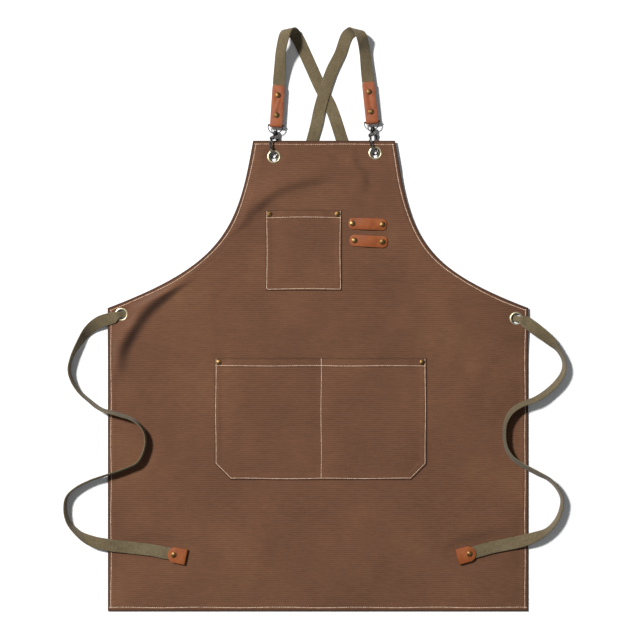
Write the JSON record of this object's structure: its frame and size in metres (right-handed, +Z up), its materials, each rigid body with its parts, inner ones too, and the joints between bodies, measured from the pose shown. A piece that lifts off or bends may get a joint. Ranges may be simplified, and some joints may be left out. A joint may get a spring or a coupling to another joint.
{
  "type": "butcher apron",
  "caption": "Canvas bib apron lying flat, with pockets, leather trim, webbing shoulder straps that clip to the bib and run on through side eyelets as waist ties",
  "frame": {"origin": "middle of the bottom hem's underside, where the apron rests on the table", "axes": "+Z up off the table through the cloth's face, +Y from the bottom hem to the bib, +X to the right of someone looking at the face"},
  "size_m": [0.833, 0.9707, 0.0365],
  "materials": {
    "canvas": "heavy brown cotton canvas, plain weave, beige stitching",
    "webbing": "olive grey cotton webbing",
    "leather": "orange tan full grain leather, raw cut edges",
    "antique_brass": "antique brass, pressed",
    "nickel": "dark nickel plate",
    "spring_wire": "spring wire"
  },
  "bodies": {
    "apron": {"apron_panel": "canvas", "chest_pocket": "canvas", "waist_pocket": "canvas", "upper_tool_strip": "leather", "lower_tool_strip": "leather", "chest_pocket_rivet_left": "antique_brass", "chest_pocket_rivet_right": "antique_brass", "waist_pocket_rivet_left": "antique_brass", "waist_pocket_rivet_right": "antique_brass", "upper_strip_rivet_left": "antique_brass", "upper_strip_rivet_right": "antique_brass", "lower_strip_rivet_left": "antique_brass", "lower_strip_rivet_right": "antique_brass", "left_bib_eyelet": "antique_brass", "left_bib_washer": "antique_brass", "left_side_eyelet": "antique_brass", "left_side_washer": "antique_brass", "left_hook_body": "nickel", "left_gate_pin": "nickel", "left_shoulder_strap": "webbing", "left_waist_tie": "webbing", "left_end_tab": "leather", "left_end_rivet": "antique_brass", "right_bib_eyelet": "antique_brass", "right_bib_washer": "antique_brass", "right_side_eyelet": "antique_brass", "right_side_washer": "antique_brass", "right_hook_body": "nickel", "right_gate_pin": "nickel", "right_shoulder_strap": "webbing", "right_waist_tie": "webbing", "right_end_tab": "leather", "right_end_rivet": "antique_brass"},
    "left_gate": {"left_hook_gate": "nickel", "left_gate_spring": "spring_wire"},
    "left_ring": {"left_swivel_ring": "nickel"},
    "left_tab": {"left_hook_tab": "leather", "left_strap_end": "webbing", "left_tab_rivet_lower": "antique_brass", "left_tab_rivet_upper": "antique_brass"},
    "right_gate": {"right_hook_gate": "nickel", "right_gate_spring": "spring_wire"},
    "right_ring": {"right_swivel_ring": "nickel"},
    "right_tab": {"right_hook_tab": "leather", "right_strap_end": "webbing", "right_tab_rivet_lower": "antique_brass", "right_tab_rivet_upper": "antique_brass"}
  },
  "joints": [
    {"name": "left_gate_hinge", "type": "hinge", "parent": "apron", "child": "left_gate", "pos_m": [-0.07616, 0.78006, 0.01581], "axis": [0.7863, -0.0522, 0.6157], "range_deg": [0, 14], "stiffness_Nm_per_rad": 0.02, "springref_deg": -11.46},
    {"name": "left_swivel", "type": "hinge", "parent": "apron", "child": "left_ring", "pos_m": [-0.07068, 0.78822, 0.0095], "axis": [0.0663, 0.9978, 0], "range_deg": [-25, 25]},
    {"name": "left_tab_hinge", "type": "hinge", "parent": "left_ring", "child": "left_tab", "pos_m": [-0.06975, 0.80219, 0.0095], "axis": [0.9978, -0.0663, 0], "range_deg": [0, 25]},
    {"name": "right_gate_hinge", "type": "hinge", "parent": "apron", "child": "right_gate", "pos_m": [0.08732, 0.78502, 0.01581], "axis": [0.7837, 0.0824, 0.6157], "range_deg": [0, 14], "stiffness_Nm_per_rad": 0.02, "springref_deg": -11.46},
    {"name": "right_swivel", "type": "hinge", "parent": "apron", "child": "right_ring", "pos_m": [0.09133, 0.79399, 0.0095], "axis": [-0.1045, 0.9945, 0], "range_deg": [-25, 25]},
    {"name": "right_tab_hinge", "type": "hinge", "parent": "right_ring", "child": "right_tab", "pos_m": [0.08987, 0.80792, 0.0095], "axis": [0.9945, 0.1045, 0], "range_deg": [0, 25]}
  ]
}
